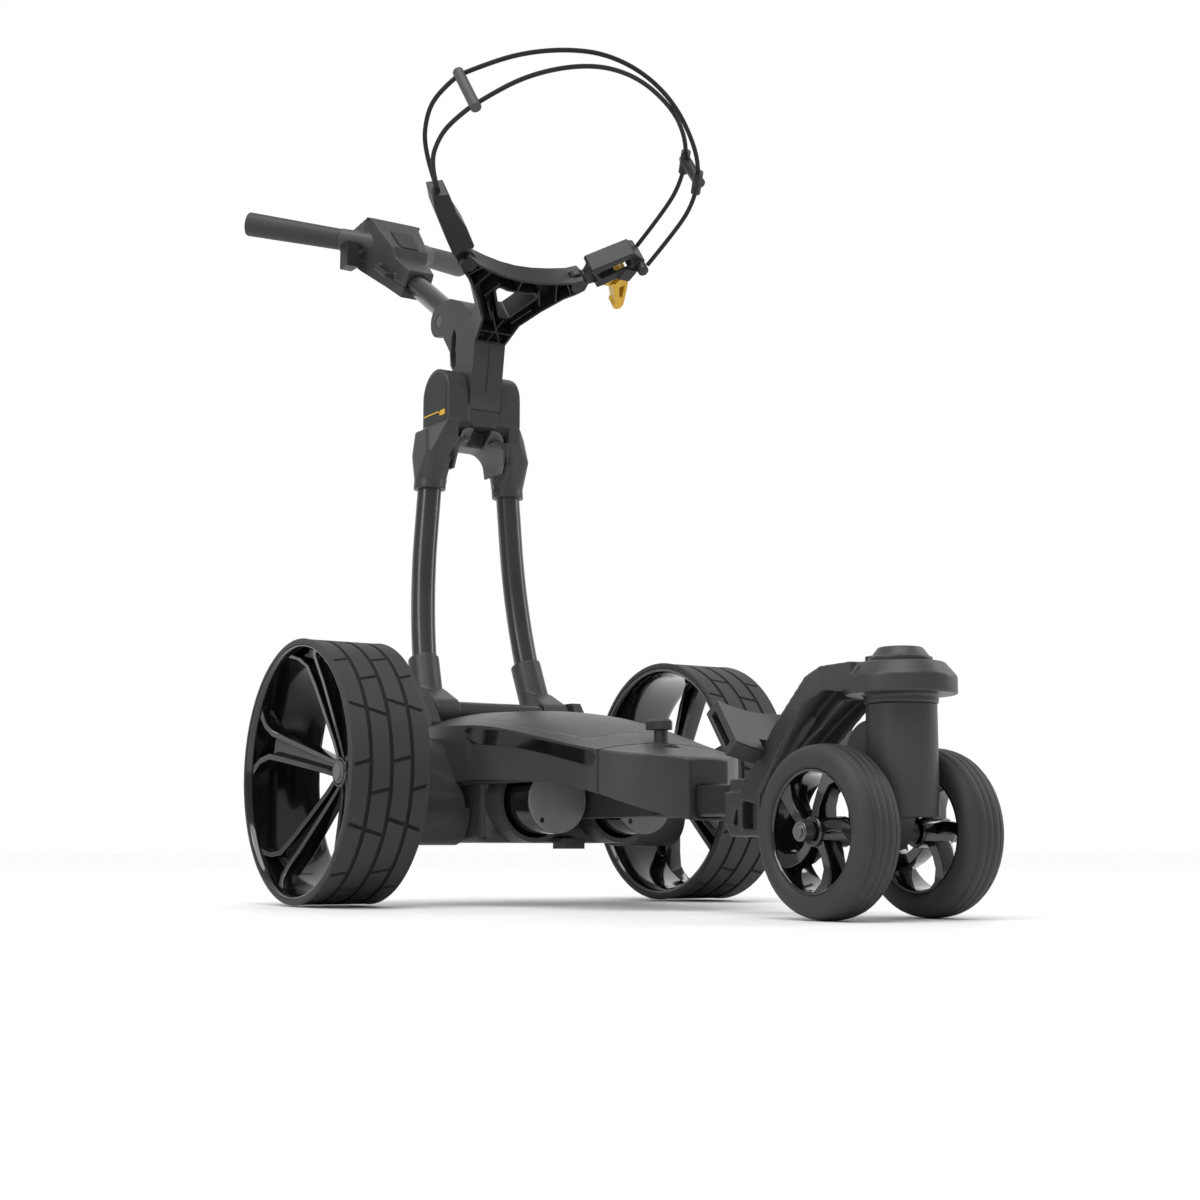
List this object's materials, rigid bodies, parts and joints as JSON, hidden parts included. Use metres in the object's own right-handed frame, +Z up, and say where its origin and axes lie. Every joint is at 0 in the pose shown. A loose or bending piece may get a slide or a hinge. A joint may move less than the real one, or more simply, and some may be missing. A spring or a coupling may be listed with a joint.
{
  "type": "electric golf trolley",
  "caption": "Folding electric golf trolley with driven rear wheels, a twin-wheel front caster, bag cradles with a bungee loop and a T-shaped handle.",
  "frame": {"origin": "point on the floor midway below the rear axle", "axes": "X across the trolley with +X on the left of somebody walking behind it, -Y forward, +Z up"},
  "size_m": [0.59, 1.2246, 0.9752],
  "materials": {
    "rubber_tread": "matt",
    "gloss_black": "gloss",
    "end_cap_grey": "satin",
    "button_grey": "satin",
    "tube_gunmetal": "satin",
    "grip_rubber": "soft touch",
    "lever_yellow": "satin",
    "cord_black": "braided",
    "clip_grey": "matt",
    "liner_grey": "matt",
    "lens_glass": "gloss",
    "steel": "brushed",
    "black_plastic": "matt",
    "charcoal_plastic": "fine texture"
  },
  "bodies": {
    "chassis": {"chassis_shell": "charcoal_plastic", "nose_cover": "charcoal_plastic", "chassis_tub": "charcoal_plastic", "side_trim_left": "gloss_black", "side_trim_right": "gloss_black", "battery_pack": "black_plastic", "hinge_brackets": "charcoal_plastic", "motor_left": "gloss_black", "motor_right": "gloss_black", "motor_end_caps": "end_cap_grey", "gearbox_left": "charcoal_plastic", "gearbox_right": "charcoal_plastic", "catch_post": "charcoal_plastic", "front_boom": "tube_gunmetal", "front_arm": "charcoal_plastic", "lower_cradle": "charcoal_plastic"},
    "lid": {"battery_lid": "charcoal_plastic"},
    "rear_wheel_left": {"rear_tyre_left": "rubber_tread", "rear_rim_left": "gloss_black"},
    "rear_wheel_right": {"rear_tyre_right": "rubber_tread", "rear_rim_right": "gloss_black"},
    "hub_button_left": {"hub_button_left": "button_grey"},
    "hub_button_right": {"hub_button_right": "button_grey"},
    "caster": {"caster_housing": "charcoal_plastic", "front_axle": "steel"},
    "front_wheel_left": {"front_tyre_left": "rubber_tread", "front_rim_left": "gloss_black"},
    "front_wheel_right": {"front_tyre_right": "rubber_tread", "front_rim_right": "gloss_black"},
    "lock_knob": {"swivel_lock_knob": "charcoal_plastic"},
    "frame": {"cross_tube": "tube_gunmetal", "leg_left": "tube_gunmetal", "leg_right": "tube_gunmetal", "leg_socket_left": "charcoal_plastic", "leg_socket_right": "charcoal_plastic", "yoke": "charcoal_plastic", "arch_liner": "liner_grey", "fold_pin": "steel"},
    "column": {"column": "charcoal_plastic", "y_bracket": "black_plastic", "tilt_bolt": "steel", "cord_clip": "clip_grey", "cord_slider": "black_plastic"},
    "handle": {"stem": "tube_gunmetal", "handle_base": "charcoal_plastic", "handle_cover": "charcoal_plastic", "display_lens": "lens_glass", "grip_left": "grip_rubber", "grip_right": "grip_rubber", "accessory_clip": "black_plastic"},
    "dial": {"speed_dial": "black_plastic"},
    "power_button": {"power_button": "black_plastic"},
    "port_flap": {"port_flap": "black_plastic"},
    "arm_left": {"cradle_arm_left": "black_plastic", "bungee_left_a": "cord_black", "bungee_left_b": "cord_black"},
    "arm_right": {"cradle_arm_right": "black_plastic", "bungee_right_a": "cord_black", "bungee_right_b": "cord_black"},
    "lever": {"cord_lever": "lever_yellow"}
  },
  "joints": [
    {"name": "rear_wheel_left_spin", "type": "hinge", "parent": "chassis", "child": "rear_wheel_left", "pos_m": [0, 0, 0.15], "axis": [1, 0, 0], "continuous": true},
    {"name": "rear_wheel_right_spin", "type": "hinge", "parent": "chassis", "child": "rear_wheel_right", "pos_m": [0, 0, 0.15], "axis": [1, 0, 0], "continuous": true},
    {"name": "hub_button_left_press", "type": "slide", "parent": "rear_wheel_left", "child": "hub_button_left", "axis": [-1, 0, 0], "range_m": [0, 0.003], "stiffness_N_per_m": 400},
    {"name": "hub_button_right_press", "type": "slide", "parent": "rear_wheel_right", "child": "hub_button_right", "axis": [1, 0, 0], "range_m": [0, 0.003], "stiffness_N_per_m": 400},
    {"name": "caster_swivel", "type": "hinge", "parent": "chassis", "child": "caster", "pos_m": [0, -0.672, 0.15], "axis": [0, 0, 1], "continuous": true},
    {"name": "front_wheel_left_spin", "type": "hinge", "parent": "caster", "child": "front_wheel_left", "pos_m": [0, -0.64, 0.078], "axis": [1, 0, 0], "continuous": true},
    {"name": "front_wheel_right_spin", "type": "hinge", "parent": "caster", "child": "front_wheel_right", "pos_m": [0, -0.64, 0.078], "axis": [1, 0, 0], "continuous": true},
    {"name": "swivel_lock_turn", "type": "hinge", "parent": "chassis", "child": "lock_knob", "pos_m": [0, -0.672, 0.235], "axis": [0, 0, 1], "range_deg": [0, 90]},
    {"name": "battery_lid_open", "type": "hinge", "parent": "chassis", "child": "lid", "pos_m": [0, -0.0842, 0.224], "axis": [1, 0, 0], "range_deg": [-70, 0]},
    {"name": "main_fold", "type": "hinge", "parent": "chassis", "child": "frame", "pos_m": [0, 0.06, 0.228], "axis": [1, 0, 0], "range_deg": [0, 103]},
    {"name": "column_fold", "type": "hinge", "parent": "frame", "child": "column", "pos_m": [0, 0.133, 0.641], "axis": [-1, 0, 0], "range_deg": [0, 125.5]},
    {"name": "handle_tilt", "type": "hinge", "parent": "column", "child": "handle", "pos_m": [0, 0.1855, 0.759], "axis": [1, 0, 0], "range_deg": [-10, 10]},
    {"name": "speed_dial_turn", "type": "hinge", "parent": "handle", "child": "dial", "pos_m": [0, 0.4067, 0.95414], "axis": [0, 0.1063, 0.9943], "range_deg": [-150, 150]},
    {"name": "power_button_press", "type": "slide", "parent": "handle", "child": "power_button", "axis": [0, -0.1063, -0.9943], "range_m": [0, 0.001], "stiffness_N_per_m": 600},
    {"name": "port_flap_open", "type": "hinge", "parent": "handle", "child": "port_flap", "pos_m": [0, 0.3445, 0.932], "axis": [-1, 0, 0], "range_deg": [0, 90]},
    {"name": "arm_left_swing", "type": "hinge", "parent": "column", "child": "arm_left", "pos_m": [0.081, 0.00553, 0.78585], "axis": [0, 0.5948, 0.8039], "range_deg": [-4, 14], "deforming": ["bungee_left_a", "bungee_left_b"]},
    {"name": "arm_right_swing", "type": "hinge", "parent": "column", "child": "arm_right", "pos_m": [-0.081, 0.00553, 0.78585], "axis": [0, -0.5948, -0.8039], "range_deg": [-4, 14], "deforming": ["bungee_right_a", "bungee_right_b"]},
    {"name": "cord_lever_pull", "type": "hinge", "parent": "arm_left", "child": "lever", "pos_m": [0.134, -0.01588, 0.80231], "axis": [0, -0.5948, -0.8039], "range_deg": [0, 45]}
  ],
  "couplings": [
    {"joint": "column_fold", "follows": "main_fold", "ratio": 1.213}
  ]
}
